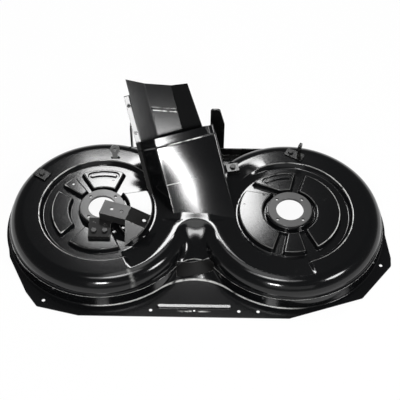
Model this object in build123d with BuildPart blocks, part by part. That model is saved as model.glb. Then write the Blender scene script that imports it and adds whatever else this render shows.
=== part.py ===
"""Bare cutting deck of a garden tractor: a twin-chamber pressing with a rising rear duct.

Millimetres, +Z up, front towards -Y. The origin lies on the underside of the flange, halfway between
the two spindle axes.
"""

import os
from math import atan2, cos, radians, sin, tan

from build123d import *

os.makedirs("parts", exist_ok=True)

# Pressing
sheet = 2.5
spindle_spacing = 505.0
base_radius = 260.0
skirt_draft = 4.5
ledge_width = 4.5
rim_height = 35.0
rim_step = 5.0
deck_height = 80.0
shoulder_radius = 39.0
valley_foot = 178.0
valley_head = 28.0
valley_bow = 1.5

# Chamber tops
band_inner_radius = 170.0
channel_depth = 13.0
channel_slope = 9.0
pad_inner_radius = 69.0
moat_radius = 86.0
pad_outer_radius = 140.0
pad_height = 14.0
pad_corner = 9.0
pad_draft = 20.0
boss_radius = 63.0
boss_height = 4.0
rear_bead_turn = 31.0
rear_bead_width = 24.0
rear_bead_island = 11.0
rear_bead_depth = 4.0
rear_bead_radius = 118.0
left_bead_angle = 92.0
right_bead_angle = 105.0
pad_hole_radius = 3.5

# Pads round each spindle: start and stop angle at the outer edge, then at the inner edge, and the inner radius
left_pads = (
    (66.0, 119.0, 62.0, 116.0, pad_inner_radius),
    (126.0, 146.0, 124.0, 146.0, pad_inner_radius),
    (153.0, 222.0, 155.0, 218.0, moat_radius),
    (232.0, 294.0, 232.0, 292.0, pad_inner_radius),
    (306.0, 390.0, 306.0, 412.0, pad_inner_radius),
)
right_pads = (
    (80.0, 137.0, 84.0, 110.0, pad_inner_radius),
    (148.0, 251.0, 122.0, 250.0, pad_inner_radius),
    (260.0, 288.0, 262.0, 292.0, pad_inner_radius),
    (299.0, 431.0, 302.0, 431.0, pad_inner_radius),
)
left_pad_holes = ((136.0, 118.0), (76.0, 98.0))
right_pad_holes = ((142.0, 88.0), (171.0, 124.0))

# Spindle seats
spindle_bore_radius = 37.0
ring_radius = 59.0
ring_thickness = 5.0
ring_bolt_circle_radius = 48.0
ring_bolt_count = 4
ring_bolt_radius = 4.5
ring_chamfer = 1.0

# Flange: corners and holes stand off the base circle, each at an angle round its own spindle
flange_width = 30.0
lip_width = 6.0
rear_lip = 2.0
flange_corner = 10.0
left_corners = ((187.0, 4.5), (204.0, 10.5), (229.0, 32.0), (239.0, 48.0))
right_corners = ((310.0, 33.0), (336.0, 38.0), (341.0, 30.0), (358.0, 4.5))
front_left_end = 48.0
front_right_end = 6.0
flange_hole_radius = 4.5
left_flange_hole = (240.0, 24.0)
right_flange_hole = (334.0, 12.5)
front_hole_inset = 19.0
front_hole_places = (-113.0, 116.0, 166.0)
bead_length = 194.0
bead_width = 15.0
bead_height = 4.0
bead_draft = 35.0
bead_waist_radius = 9.0
bead_hole_radius = 3.2

# Duct: sheets are drawn across the duct, with depth measured down from the cover
duct_foot_x = 20.5
duct_foot_back = 23.0
duct_rise = 45.0
duct_skew = 15.0
duct_sheet = 2.0
duct_bend = 4.0
cover_width = 162.0
cover_length = 220.0
cover_lap_at = 91.0
cover_lap = 16.0
cover_band = 25.0
cover_joggle = 3.0
cover_fold = 12.0
cheek_out = 42.0
cheek_drop = 55.0
cheek_flange = 12.0
trough_depth = 82.0
trough_floor_left = -73.0
trough_floor_right = -4.0
right_wall_out = 56.0
right_wall_rise = 36.0
right_wall_taper = 0.09
side_plate_lap = 12.0
side_plate_inset = 8.0
trough_length = 359.0
trough_end_slant = 0.33
trough_end_lean = 0.32
trough_flange_length = 350.0
trough_bead_at = 288.0
trough_bead_width = 12.0
trough_bead_height = 3.0
duct_margin = 1.0

# Rear strip and hangers
strip_height = 30.0
strip_foot = 18.0
strip_length = 380.0
hanger_thickness = 5.0
hanger_hole_radius = 6.0
right_hanger_x = 56.0
right_hanger_width = 40.0
right_hanger_height = 190.0
right_hanger_neck = 26.0
right_hanger_shoulder = 130.0
left_hanger_x = -189.0
left_hanger_depth = 24.0
left_hanger_height = 112.0

# Lugs and small brackets: a lug's place is sideways from its spindle and in from the edge of the band
lug_thickness = 5.0
lug_eye_radius = 13.0
lug_hole_radius = 5.0
lug_stem = 14.0
left_lug_height = 22.0
left_lug_lean = 35.0
right_lug_height = 37.0
left_lug_place = (22.5, 30.0)
right_lug_place = (32.0, 20.0)
right_lug_turn = 62.0
lug_base_length = 52.0
lug_base_width = 26.0
lug_base_thickness = 4.0
lug_base_turn = -30.0
rim_bracket_angle = 147.0
rim_bracket_inset = 4.0
rim_bracket_length = 40.0
rim_bracket_width = 28.0
rim_bracket_rise = 6.0
rim_bracket_sheet = 3.0
stop_block_angle = 137.4
stop_block_inset = 3.6
stop_block_length = 34.0
stop_block_width = 28.0
stop_block_rise = 12.0
stop_block_sheet = 3.0
stop_block_turn = 12.0

# Belt-side bracket on the left chamber: places are measured from the left spindle
bracket_sheet = 3.0
bridge_place = (38.5, -33.0)
bridge_turn = -17.0
bridge_length = 74.0
bridge_width = 46.0
bridge_rise = 26.0
bridge_hole_radius = 4.5
arm_length = 54.0
arm_drop = 16.0
arm_hole_radius = 5.0
gusset_angle = 299.5
gusset_inset = 6.0
foot_place = (-1.5, -72.0)
foot_length = 62.0
foot_width = 58.0
foot_hole_radius = 4.0

# Valley patch
patch_sheet = 2.0
patch_width = 100.0
patch_front = 166.0
patch_rear = 137.0
patch_turn = 7.5

# Fasteners
bolt_radius = 3.8
bolt_head_across = 13.0
bolt_head_height = 5.5
bolt_clearance = 0.3

# Worked-out values
half_spacing = spindle_spacing / 2
rim_radius = base_radius - skirt_draft
wall_radius = rim_radius - ledge_width
top_radius = wall_radius - shoulder_radius
shoulder_base = deck_height - shoulder_radius
channel_top = deck_height - channel_depth
pad_top = channel_top + pad_height
seat_top = deck_height + boss_height
ring_top = seat_top + ring_thickness
foot_top = ring_top + bracket_sheet
bridge_top = foot_top + bridge_rise
valley_run = valley_foot - valley_head
flange_front = base_radius + flange_width
flange_rear = base_radius + rear_lip
left_spindle = Vector(-half_spacing, 0)
right_spindle = Vector(half_spacing, 0)
chambers = ((left_spindle, left_pads, left_bead_angle), (right_spindle, right_pads, right_bead_angle))
rise, skew = radians(duct_rise), radians(duct_skew)
duct_along = Vector(-sin(skew), cos(skew) * cos(rise), cos(skew) * sin(rise))
duct_across = Vector(cos(skew), sin(skew) * cos(rise), sin(skew) * sin(rise))
duct_down = duct_along.cross(duct_across)
duct_foot = Vector(duct_foot_x, duct_foot_back - valley_head, deck_height)
duct_root = -deck_height / 2
duct_end = trough_length + trough_depth
cover_left = -cover_width / 2
cover_right = cover_width / 2
cheek_left = cover_left - cheek_out
trough_flange_depth = cheek_drop + duct_sheet
trough_edge = cheek_left + 2 * duct_sheet
trough_right = trough_floor_right + right_wall_out
trough_right_depth = trough_depth - right_wall_rise


def polar(centre, angle, radius):
    """Point at an angle and a distance from a centre."""
    return centre + Vector(radius * cos(radians(angle)), radius * sin(radians(angle)))


def valley_y(height, skin=0.0, lean=0.0):
    """Rearmost point of the front valley at a height; lean is the sine of the wall's own tilt there.

    The ramp falls with a power of the distance from its head, so that it leaves the flat neck smoothly.
    """
    drop = max(1 - height / deck_height, 0.001)
    slope = atan2(valley_bow * deck_height * drop ** (1 - 1 / valley_bow), valley_run)
    inward = skin * (1 - lean * cos(slope)) / sin(slope)
    return -valley_head - valley_run * drop ** (1 / valley_bow) + inward


def twin_outline(radius, valley, height):
    """Two chamber circles joined by a round valley in front and its mirror behind."""
    valley_radius = (half_spacing**2 + valley**2 - radius**2) / (2 * (radius + valley))
    share = radius / (radius + valley_radius)
    touch_x = half_spacing * (1 - share)
    touch_y = (valley - valley_radius) * share
    with BuildSketch(Plane.XY.offset(height)) as outline:
        with BuildLine():
            ThreePointArc((-touch_x, touch_y), (0, valley), (touch_x, touch_y))
            ThreePointArc((touch_x, touch_y), (half_spacing + radius, 0), (touch_x, -touch_y))
            ThreePointArc((touch_x, -touch_y), (0, -valley), (-touch_x, -touch_y))
            ThreePointArc((-touch_x, -touch_y), (-half_spacing - radius, 0), (-touch_x, touch_y))
        make_face()
    return outline.sketch


def wall_sections(skin):
    """Skirt, ledge and foot of the shoulder, from the flange upwards."""
    drop = skin * tan(radians(22.5))
    levels = (
        (0.0, 0.0, base_radius),
        (rim_height, rim_height - drop, rim_radius),
        (rim_height + rim_step, rim_height + rim_step - drop, wall_radius),
        (shoulder_base, shoulder_base, wall_radius),
    )
    return [twin_outline(radius - skin, valley_y(at, skin), height) for at, height, radius in levels]


def shoulder_sections(skin):
    """Quarter-round shoulder from the wall up to the flat band."""
    sections = []
    for step in range(5):
        turn = radians(22.5 * step)
        radius = top_radius + (shoulder_radius - skin) * cos(turn)
        height = shoulder_base + (shoulder_radius - skin) * sin(turn)
        outer_height = shoulder_base + shoulder_radius * sin(turn)
        sections.append(twin_outline(radius, valley_y(outer_height, skin, sin(turn)), height))
    return sections


def pad_sketch(spindle, angles, height, skin):
    """Sector of the chamber top between the spindle seat and the channel, with round corners."""
    outer_start, outer_stop, inner_start, inner_stop, inner_radius = angles
    with BuildSketch(Plane.XY.offset(height)) as pad:
        with BuildLine():
            outer = CenterArc(spindle, pad_outer_radius, outer_start, outer_stop - outer_start)
            inner = CenterArc(spindle, inner_radius, inner_start, inner_stop - inner_start)
            Line(outer @ 0, inner @ 0)
            Line(outer @ 1, inner @ 1)
        make_face()
        fillet(pad.vertices(), pad_corner)
        if skin:
            offset(amount=-skin, mode=Mode.REPLACE)
    return pad.sketch


def deck_volume(skin):
    """Solid volume of the pressing with its surface moved inwards by skin."""
    with BuildPart() as volume:
        loft(wall_sections(skin), ruled=True)
        loft(shoulder_sections(skin))
        for spindle, pads, bead_angle in chambers:
            with BuildSketch(Plane(spindle, x_dir=(1, 0, 0), z_dir=(0, -1, 0))):
                with BuildLine():
                    Polyline(
                        (boss_radius - skin, seat_top),
                        (boss_radius - skin, channel_top - skin),
                        (band_inner_radius - channel_slope + skin, channel_top - skin),
                        (band_inner_radius + skin, deck_height - skin),
                        (band_inner_radius + skin, seat_top),
                        close=True,
                    )
                make_face()
            revolve(axis=Axis(spindle, (0, 0, 1)), mode=Mode.SUBTRACT)
            for angles in pads:
                extrude(pad_sketch(spindle, angles, channel_top - skin, skin), pad_height, taper=pad_draft)
            bead = CenterArc(spindle, rear_bead_radius, bead_angle - rear_bead_turn / 2, rear_bead_turn)
            with BuildSketch(Plane.XY.offset(pad_top)):
                SlotArc(bead, rear_bead_width + 2 * skin)
                SlotArc(bead, rear_bead_island - 2 * skin, mode=Mode.SUBTRACT)
            extrude(amount=-rear_bead_depth - skin, mode=Mode.SUBTRACT)
            with BuildSketch(Plane.XY.offset(deck_height - skin)):
                with Locations(spindle):
                    Circle(boss_radius - skin)
            extrude(amount=boss_height)
    return volume.part


def duct_plane(along):
    """Plane across the duct: local x runs to the right and local y down from the cover."""
    return Plane(duct_foot + duct_along * along, x_dir=duct_across, z_dir=duct_along)


def folded_sheet(path, side, start, length):
    """Sheet bent along a path across the duct and drawn out along it."""
    with BuildPart() as folded:
        with BuildSketch(duct_plane(start)):
            with BuildLine():
                FilletPolyline(*path, radius=duct_bend)
                offset(amount=duct_sheet, side=side)
            make_face()
        extrude(amount=length)
    return folded.part


def hex_bolts(places, seat):
    """Hexagon bolts with their heads on a seat height and their shanks below it."""
    with BuildPart() as bolts:
        for place, grip in places:
            with BuildSketch(Plane.XY.offset(seat)):
                with Locations(place):
                    RegularPolygon(bolt_head_across / 2, 6, major_radius=False)
            extrude(amount=bolt_head_height)
            with BuildSketch(Plane.XY.offset(seat)):
                with Locations(place):
                    Circle(bolt_radius)
            extrude(amount=-grip)
    return bolts.part


def lug_at(spindle, place):
    """Foot of an eye lug: sideways from its spindle, and in from the outer edge of the band."""
    return spindle + Vector(place[0], top_radius - place[1])


def eye_lug(place, turn, foot, height, lean=0.0):
    """Plate with a round eye on a stem, standing on a foot height or leaning back from it by an angle."""
    across = (cos(radians(turn)), sin(radians(turn)), 0)
    facing = Vector(sin(radians(turn)), -cos(radians(turn))) * cos(radians(lean)) + Vector(0, 0, sin(radians(lean)))
    root = lug_thickness * tan(radians(lean))
    with BuildPart() as lug:
        with BuildSketch(Plane(place + Vector(0, 0, foot), x_dir=across, z_dir=facing)):
            with Locations((0, -root)):
                Rectangle(lug_stem, height + root, align=(Align.CENTER, Align.MIN))
            with Locations((0, height)):
                Circle(lug_eye_radius)
                Circle(lug_hole_radius, mode=Mode.SUBTRACT)
        extrude(amount=lug_thickness / 2, both=True)
    return lug.part


deck_outer = deck_volume(0.0)
deck_inner = deck_volume(sheet)

cover_path = (
    (cover_right, cover_fold),
    (cover_right, 0),
    (cover_left, 0),
    (cheek_left, cheek_drop),
    (cheek_left - cheek_flange, cheek_drop),
)
trough_path = (
    (cheek_left - cheek_flange, trough_flange_depth),
    (trough_edge, trough_flange_depth),
    (trough_floor_left, trough_depth),
    (trough_floor_right, trough_depth),
    (trough_right, trough_right_depth),
)

# Deck pressing with its flange
with BuildPart() as deck_shell:
    add(deck_outer)
    with BuildSketch():
        with BuildLine():
            FilletPolyline(
                *[polar(left_spindle, angle, base_radius + reach) for angle, reach in left_corners],
                (-half_spacing - front_left_end, -flange_front),
                (half_spacing - front_right_end, -flange_front),
                *[polar(right_spindle, angle, base_radius + reach) for angle, reach in right_corners],
                radius=flange_corner,
                close=True,
            )
        make_face()
        add(twin_outline(base_radius + lip_width, -valley_foot, 0))
        with Locations((0, flange_rear / 2)):
            Rectangle(strip_length, flange_rear)
    extrude(amount=sheet)
    with BuildSketch(Plane.XY.offset(sheet)):
        with Locations((0, front_hole_inset - flange_front)):
            SlotOverall(bead_length, bead_width)
            Circle(bead_waist_radius, mode=Mode.SUBTRACT)
    extrude(amount=bead_height, taper=bead_draft)
    with BuildSketch():
        with Locations((0, front_hole_inset - flange_front)):
            SlotOverall(bead_length - sheet, bead_width - sheet)
            Circle(bead_waist_radius + sheet, mode=Mode.SUBTRACT)
    extrude(amount=bead_height, taper=bead_draft, mode=Mode.SUBTRACT)
    add(deck_inner, mode=Mode.SUBTRACT)
    with BuildSketch(duct_plane(duct_root)):
        margin = duct_sheet + duct_margin
        Polygon(
            (cover_left + margin, margin),
            (cover_right - side_plate_inset - margin, margin),
            (trough_right - margin, trough_right_depth),
            (trough_floor_right, trough_depth - duct_margin),
            (trough_floor_left, trough_depth - duct_margin),
            (trough_edge + duct_margin, trough_flange_depth),
            (cheek_left + margin, cheek_drop),
            align=None,
        )
    extrude(amount=duct_end, mode=Mode.SUBTRACT)
    with Locations(left_spindle, right_spindle):
        Hole(spindle_bore_radius, depth=2 * deck_height)
        with PolarLocations(ring_bolt_circle_radius, ring_bolt_count, start_angle=45):
            Hole(ring_bolt_radius, depth=2 * deck_height)
    front_holes = [(x, front_hole_inset - flange_front) for x in front_hole_places]
    side_holes = [
        polar(left_spindle, left_flange_hole[0], base_radius + left_flange_hole[1]),
        polar(right_spindle, right_flange_hole[0], base_radius + right_flange_hole[1]),
    ]
    with Locations(*front_holes, *side_holes):
        Hole(flange_hole_radius, depth=2 * deck_height)
    with Locations((0, front_hole_inset - flange_front)):
        Hole(bead_hole_radius, depth=2 * deck_height)
    pad_holes = [polar(left_spindle, angle, radius) for angle, radius in left_pad_holes]
    pad_holes += [polar(right_spindle, angle, radius) for angle, radius in right_pad_holes]
    with Locations(*pad_holes):
        Hole(pad_hole_radius, depth=2 * deck_height)
deck_shell.part.label = "deck_shell"
export_step(deck_shell.part, "parts/deck_shell.step")

# Rings round the spindle holes
for name, spindle in (("left_spindle_ring", left_spindle), ("right_spindle_ring", right_spindle)):
    with BuildPart() as spindle_ring:
        with BuildSketch(Plane.XY.offset(seat_top)):
            with Locations(spindle):
                Circle(ring_radius)
                Circle(spindle_bore_radius, mode=Mode.SUBTRACT)
                with PolarLocations(ring_bolt_circle_radius, ring_bolt_count, start_angle=45):
                    Circle(ring_bolt_radius, mode=Mode.SUBTRACT)
        extrude(amount=ring_thickness)
        rim = spindle_ring.faces().sort_by(Axis.Z)[-1].outer_wire().edges()
        chamfer(rim, ring_chamfer)
    spindle_ring.part.label = name
    export_step(spindle_ring.part, f"parts/{name}.step")

# Duct sheets, cut off where they stand on the pressing
with BuildPart() as chute_cover_lower:
    add(folded_sheet(cover_path, Side.RIGHT, duct_root, cover_lap_at + cover_lap - duct_root))
    split(bisect_by=Plane.XY.offset(rim_height / 2))
    add(deck_outer, mode=Mode.SUBTRACT)
chute_cover_lower.part.label = "chute_cover_lower"
export_step(chute_cover_lower.part, "parts/chute_cover_lower.step")

with BuildPart() as chute_cover_upper:
    band_at = cover_length - cover_band
    add(folded_sheet(cover_path, Side.LEFT, cover_lap_at, band_at + cover_joggle - cover_lap_at))
    add(folded_sheet(cover_path, Side.RIGHT, band_at, cover_band))
chute_cover_upper.part.label = "chute_cover_upper"
export_step(chute_cover_upper.part, "parts/chute_cover_upper.step")

with BuildPart() as chute_right_wall:
    wall_lean = Vector(right_wall_out, -right_wall_rise).normalized()
    wall_top = Vector(trough_right, trough_right_depth)
    side_top = cover_right - side_plate_inset
    side_path = (
        wall_top - wall_lean * side_plate_lap,
        wall_top,
        (side_top, duct_sheet),
        (side_top - side_plate_lap, duct_sheet),
    )
    add(folded_sheet(side_path, Side.RIGHT, duct_root, cover_length - duct_root))
    split(bisect_by=Plane.XY.offset(rim_height / 2))
    add(deck_outer, mode=Mode.SUBTRACT)
chute_right_wall.part.label = "chute_right_wall"
export_step(chute_right_wall.part, "parts/chute_right_wall.step")

with BuildPart() as chute_trough:
    add(folded_sheet(trough_path, Side.LEFT, duct_root, duct_end))
    floor_middle = (trough_floor_left + trough_floor_right) / 2
    half_floor = (trough_floor_right - trough_floor_left) / 2 - duct_bend
    for depth, edge, mode in ((0, 0, Mode.ADD), (duct_sheet, duct_sheet, Mode.SUBTRACT)):
        bead_seat = duct_foot + duct_down * (trough_depth + depth)
        with BuildSketch(Plane(bead_seat, x_dir=duct_along, z_dir=duct_down)):
            side = half_floor - edge
            reach = trough_bead_width / 2 - edge
            Polygon(
                (trough_bead_at + trough_end_slant * side - reach, floor_middle - side),
                (trough_bead_at + trough_end_slant * side + reach, floor_middle - side),
                (trough_bead_at - trough_end_slant * side + reach, floor_middle + side),
                (trough_bead_at - trough_end_slant * side - reach, floor_middle + side),
                align=None,
            )
        extrude(amount=-trough_bead_height, mode=mode)
    with BuildSketch(Plane(duct_foot, x_dir=duct_along, z_dir=duct_down)):
        Polygon(
            (cover_length, trough_right),
            (duct_end, trough_right - right_wall_taper * (duct_end - cover_length)),
            (duct_end, trough_right + duct_bend),
            (cover_length, trough_right + duct_bend),
            align=None,
        )
        with Locations((trough_flange_length, trough_edge)):
            cut_width = cheek_flange + 2 * duct_bend
            Rectangle(duct_end - trough_flange_length, cut_width, align=(Align.MIN, Align.MAX))
    extrude(amount=2 * trough_depth, mode=Mode.SUBTRACT)
    end_normal = duct_along + duct_across * trough_end_slant + duct_down * trough_end_lean
    end_point = duct_foot + duct_along * trough_length + duct_across * floor_middle + duct_down * trough_depth
    split(bisect_by=Plane(end_point, x_dir=duct_across.cross(end_normal), z_dir=-end_normal))
    split(bisect_by=Plane.XY.offset(rim_height / 2))
    add(deck_outer, mode=Mode.SUBTRACT)
chute_trough.part.label = "chute_trough"
export_step(chute_trough.part, "parts/chute_trough.step")

# Rear strip and hangers
with BuildPart() as rear_cross_strip:
    with BuildSketch(Plane.YZ):
        with BuildLine():
            Polyline(
                (flange_rear - strip_foot, sheet),
                (flange_rear, sheet),
                (flange_rear, sheet + strip_height),
            )
            offset(amount=sheet, side=Side.LEFT)
        make_face()
    extrude(amount=strip_length / 2, both=True)
    add(deck_outer, mode=Mode.SUBTRACT)
rear_cross_strip.part.label = "rear_cross_strip"
export_step(rear_cross_strip.part, "parts/rear_cross_strip.step")

with BuildPart() as right_rear_hanger:
    hanger_foot = (right_hanger_x, flange_rear, sheet)
    with BuildSketch(Plane(hanger_foot, x_dir=(1, 0, 0), z_dir=(0, -1, 0))) as hanger:
        half_width = right_hanger_width / 2
        Polygon(
            (-half_width, 0),
            (half_width, 0),
            (half_width, right_hanger_shoulder),
            (right_hanger_neck - half_width, right_hanger_height),
            (-half_width, right_hanger_height),
            align=None,
        )
        fillet(hanger.vertices().group_by(Axis.Z)[-1], right_hanger_neck / 3)
    extrude(amount=-hanger_thickness)
right_rear_hanger.part.label = "right_rear_hanger"
export_step(right_rear_hanger.part, "parts/right_rear_hanger.step")

with BuildPart() as left_rear_hanger:
    with BuildSketch(Plane((left_hanger_x, flange_rear, sheet), x_dir=(0, 1, 0), z_dir=(1, 0, 0))) as hanger:
        Rectangle(left_hanger_depth, left_hanger_height, align=(Align.MIN, Align.MIN))
        fillet(hanger.vertices().group_by(Axis.Z)[-1], left_hanger_depth / 3)
        with Locations((left_hanger_depth / 2, left_hanger_height - left_hanger_depth / 2)):
            Circle(hanger_hole_radius, mode=Mode.SUBTRACT)
    extrude(amount=hanger_thickness / 2, both=True)
left_rear_hanger.part.label = "left_rear_hanger"
export_step(left_rear_hanger.part, "parts/left_rear_hanger.step")

# Lugs on the rear of the chambers
with BuildPart() as left_eye_lug:
    add(eye_lug(lug_at(left_spindle, left_lug_place), 0, deck_height, left_lug_height, left_lug_lean))
    add(deck_outer, mode=Mode.SUBTRACT)
left_eye_lug.part.label = "left_eye_lug"
export_step(left_eye_lug.part, "parts/left_eye_lug.step")

right_lug_at = lug_at(right_spindle, right_lug_place)
base_top = deck_height + lug_base_thickness
base_axis = Vector(cos(radians(lug_base_turn)), sin(radians(lug_base_turn)))
base_middle = right_lug_at - base_axis * (lug_base_length / 4)
base_bolt_at = right_lug_at - base_axis * (lug_base_length / 2)
with BuildPart() as right_eye_lug:
    add(eye_lug(right_lug_at, right_lug_turn, base_top, right_lug_height))
right_eye_lug.part.label = "right_eye_lug"
export_step(right_eye_lug.part, "parts/right_eye_lug.step")

with BuildPart() as right_lug_base:
    with BuildSketch(Plane.XY.offset(deck_height)):
        with Locations(Location(base_middle, lug_base_turn)):
            RectangleRounded(lug_base_length, lug_base_width, lug_base_width / 5)
    extrude(amount=lug_base_thickness)
    with Locations(base_bolt_at):
        Hole(bolt_radius + bolt_clearance, depth=2 * base_top)
    add(deck_outer, mode=Mode.SUBTRACT)
right_lug_base.part.label = "right_lug_base"
export_step(right_lug_base.part, "parts/right_lug_base.step")

with BuildPart() as lug_base_bolt:
    add(hex_bolts([(base_bolt_at, lug_base_thickness)], base_top))
lug_base_bolt.part.label = "lug_base_bolt"
export_step(lug_base_bolt.part, "parts/lug_base_bolt.step")

# Bracket on the left shoulder: a channel that straddles band and shoulder
bracket_out = Vector(cos(radians(rim_bracket_angle)), sin(radians(rim_bracket_angle)))
bracket_at = left_spindle + bracket_out * (top_radius - rim_bracket_inset)
bracket_top = deck_height + rim_bracket_rise
with BuildPart() as left_rim_bracket:
    facing = bracket_out.cross(Vector(0, 0, 1))
    with BuildSketch(Plane(bracket_at, x_dir=bracket_out, z_dir=facing)):
        with BuildLine():
            half_length = rim_bracket_length / 2
            Polyline(
                (-half_length, shoulder_base),
                (-half_length, bracket_top),
                (half_length, bracket_top),
                (half_length, shoulder_base),
            )
            offset(amount=rim_bracket_sheet, side=Side.RIGHT)
        make_face()
    extrude(amount=rim_bracket_width / 2, both=True)
    with Locations(bracket_at):
        Hole(bolt_radius + bolt_clearance, depth=2 * bracket_top)
    add(deck_outer, mode=Mode.SUBTRACT)
left_rim_bracket.part.label = "left_rim_bracket"
export_step(left_rim_bracket.part, "parts/left_rim_bracket.step")

with BuildPart() as rim_bracket_bolt:
    add(hex_bolts([(bracket_at, rim_bracket_rise)], bracket_top))
rim_bracket_bolt.part.label = "rim_bracket_bolt"
export_step(rim_bracket_bolt.part, "parts/rim_bracket_bolt.step")

# Folded stop beside the duct
stop_at = polar(right_spindle, stop_block_angle, top_radius - stop_block_inset)
stop_top = deck_height + stop_block_rise
with BuildPart() as chute_stop_block:
    with BuildSketch(Plane.XY.offset(shoulder_base)):
        with Locations(Location(stop_at, stop_block_turn)):
            Rectangle(stop_block_length, stop_block_width)
    extrude(amount=stop_top - shoulder_base)
    with BuildSketch(Plane.XY.offset(shoulder_base)):
        with Locations(Location(stop_at, stop_block_turn)):
            Rectangle(stop_block_length - 2 * stop_block_sheet, stop_block_width - 2 * stop_block_sheet)
    extrude(amount=stop_top - stop_block_sheet - shoulder_base, mode=Mode.SUBTRACT)
    with Locations(stop_at):
        Hole(bolt_radius + bolt_clearance, depth=2 * stop_top)
    add(deck_outer, mode=Mode.SUBTRACT)
chute_stop_block.part.label = "chute_stop_block"
export_step(chute_stop_block.part, "parts/chute_stop_block.step")

with BuildPart() as stop_block_bolt:
    add(hex_bolts([(stop_at, stop_block_rise)], stop_top))
stop_block_bolt.part.label = "stop_block_bolt"
export_step(stop_block_bolt.part, "parts/stop_block_bolt.step")

# Belt-side bracket: foot plate on the left ring, bridge over the hole, sloping arm and gusset
foot_at = left_spindle + Vector(*foot_place)
foot_bolt_places = [foot_at + Vector(side * foot_width / 4, -foot_length / 5) for side in (-1, 1)]
with BuildPart() as left_foot_plate:
    with BuildSketch(Plane((foot_at.X, foot_at.Y, 0), x_dir=(0, 1, 0), z_dir=(1, 0, 0))):
        with BuildLine():
            Polyline(
                (foot_length / 2, foot_top),
                (-foot_length / 2, foot_top),
                (-foot_length / 2, shoulder_base),
            )
            offset(amount=bracket_sheet, side=Side.LEFT)
        make_face()
    extrude(amount=foot_width / 2, both=True)
    with Locations(*foot_bolt_places):
        Hole(bolt_radius + bolt_clearance, depth=2 * foot_top)
    rear_holes = [Vector(-foot_width / 4, foot_length / 4), Vector(foot_width / 4, foot_length / 8)]
    with Locations(*[foot_at + place for place in rear_holes]):
        Hole(foot_hole_radius, depth=2 * foot_top)
    add(deck_outer, mode=Mode.SUBTRACT)
left_foot_plate.part.label = "left_foot_plate"
export_step(left_foot_plate.part, "parts/left_foot_plate.step")

with BuildPart() as foot_plate_bolts:
    add(hex_bolts([(place, foot_top - pad_top) for place in foot_bolt_places], foot_top))
foot_plate_bolts.part.label = "foot_plate_bolts"
export_step(foot_plate_bolts.part, "parts/foot_plate_bolts.step")

bridge_at = left_spindle + Vector(*bridge_place)
bridge_x = Vector(cos(radians(bridge_turn)), sin(radians(bridge_turn)))
bridge_y = Vector(-sin(radians(bridge_turn)), cos(radians(bridge_turn)))
with BuildPart() as left_bridge_plate:
    with BuildSketch(Plane(bridge_at, x_dir=bridge_y, z_dir=bridge_x)):
        with BuildLine():
            Polyline(
                (bridge_width / 2, bridge_top),
                (-bridge_width / 2, bridge_top),
                (-bridge_width / 2, foot_top),
            )
            offset(amount=bracket_sheet, side=Side.LEFT)
        make_face()
    extrude(amount=bridge_length / 2, both=True)
    with Locations(bridge_at + bridge_x * (bridge_length / 4), bridge_at - bridge_x * (bridge_length / 8)):
        Hole(bridge_hole_radius, depth=2 * bridge_top)
left_bridge_plate.part.label = "left_bridge_plate"
export_step(left_bridge_plate.part, "parts/left_bridge_plate.step")

arm_top = bridge_top - arm_drop
with BuildPart() as left_arm:
    with BuildSketch(Plane(bridge_at + bridge_x * (bridge_length / 2), x_dir=bridge_x, z_dir=-bridge_y)):
        Polygon(
            (0, bridge_top),
            (arm_length, arm_top),
            (arm_length, arm_top - bracket_sheet),
            (0, bridge_top - bracket_sheet),
            align=None,
        )
    extrude(amount=bridge_width / 2, both=True)
    with Locations(bridge_at + bridge_x * (bridge_length / 2 + arm_length - 2 * arm_hole_radius)):
        Hole(arm_hole_radius, depth=2 * bridge_top)
left_arm.part.label = "left_arm"
export_step(left_arm.part, "parts/left_arm.step")

with BuildPart() as left_gusset:
    arm_front = bridge_at + bridge_x * (bridge_length / 2) - bridge_y * (bridge_width / 2)
    high = arm_front + Vector(0, 0, bridge_top)
    low = arm_front + bridge_x * arm_length + Vector(0, 0, arm_top)
    tip = polar(left_spindle, gusset_angle, pad_outer_radius - gusset_inset) + Vector(0, 0, channel_top)
    web = Plane(high, x_dir=low - high, z_dir=(low - high).cross(tip - high))
    with BuildSketch(web):
        corners = [web.to_local_coords(corner) for corner in (high, low, tip)]
        Polygon(*[(corner.X, corner.Y) for corner in corners], align=None)
    extrude(amount=bracket_sheet)
    add(left_arm.part, mode=Mode.SUBTRACT)
    add(left_bridge_plate.part, mode=Mode.SUBTRACT)
    add(deck_outer, mode=Mode.SUBTRACT)
left_gusset.part.label = "left_gusset"
export_step(left_gusset.part, "parts/left_gusset.step")

# Patch plate in the valley
with BuildPart() as valley_patch:
    with BuildSketch():
        with Locations(Location((0, -(patch_front + patch_rear) / 2), patch_turn)):
            Rectangle(patch_width, patch_front - patch_rear)
    extrude(amount=deck_height)
    with BuildPart(mode=Mode.PRIVATE) as thicker_wall:
        loft(wall_sections(-patch_sheet), ruled=True)
    add(thicker_wall.part, mode=Mode.INTERSECT)
    add(deck_outer, mode=Mode.SUBTRACT)
valley_patch.part.label = "valley_patch"
export_step(valley_patch.part, "parts/valley_patch.step")
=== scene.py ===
import bpy
import numpy as np
from mathutils import Matrix, Vector
from mathutils.geometry import delaunay_2d_cdt


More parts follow.
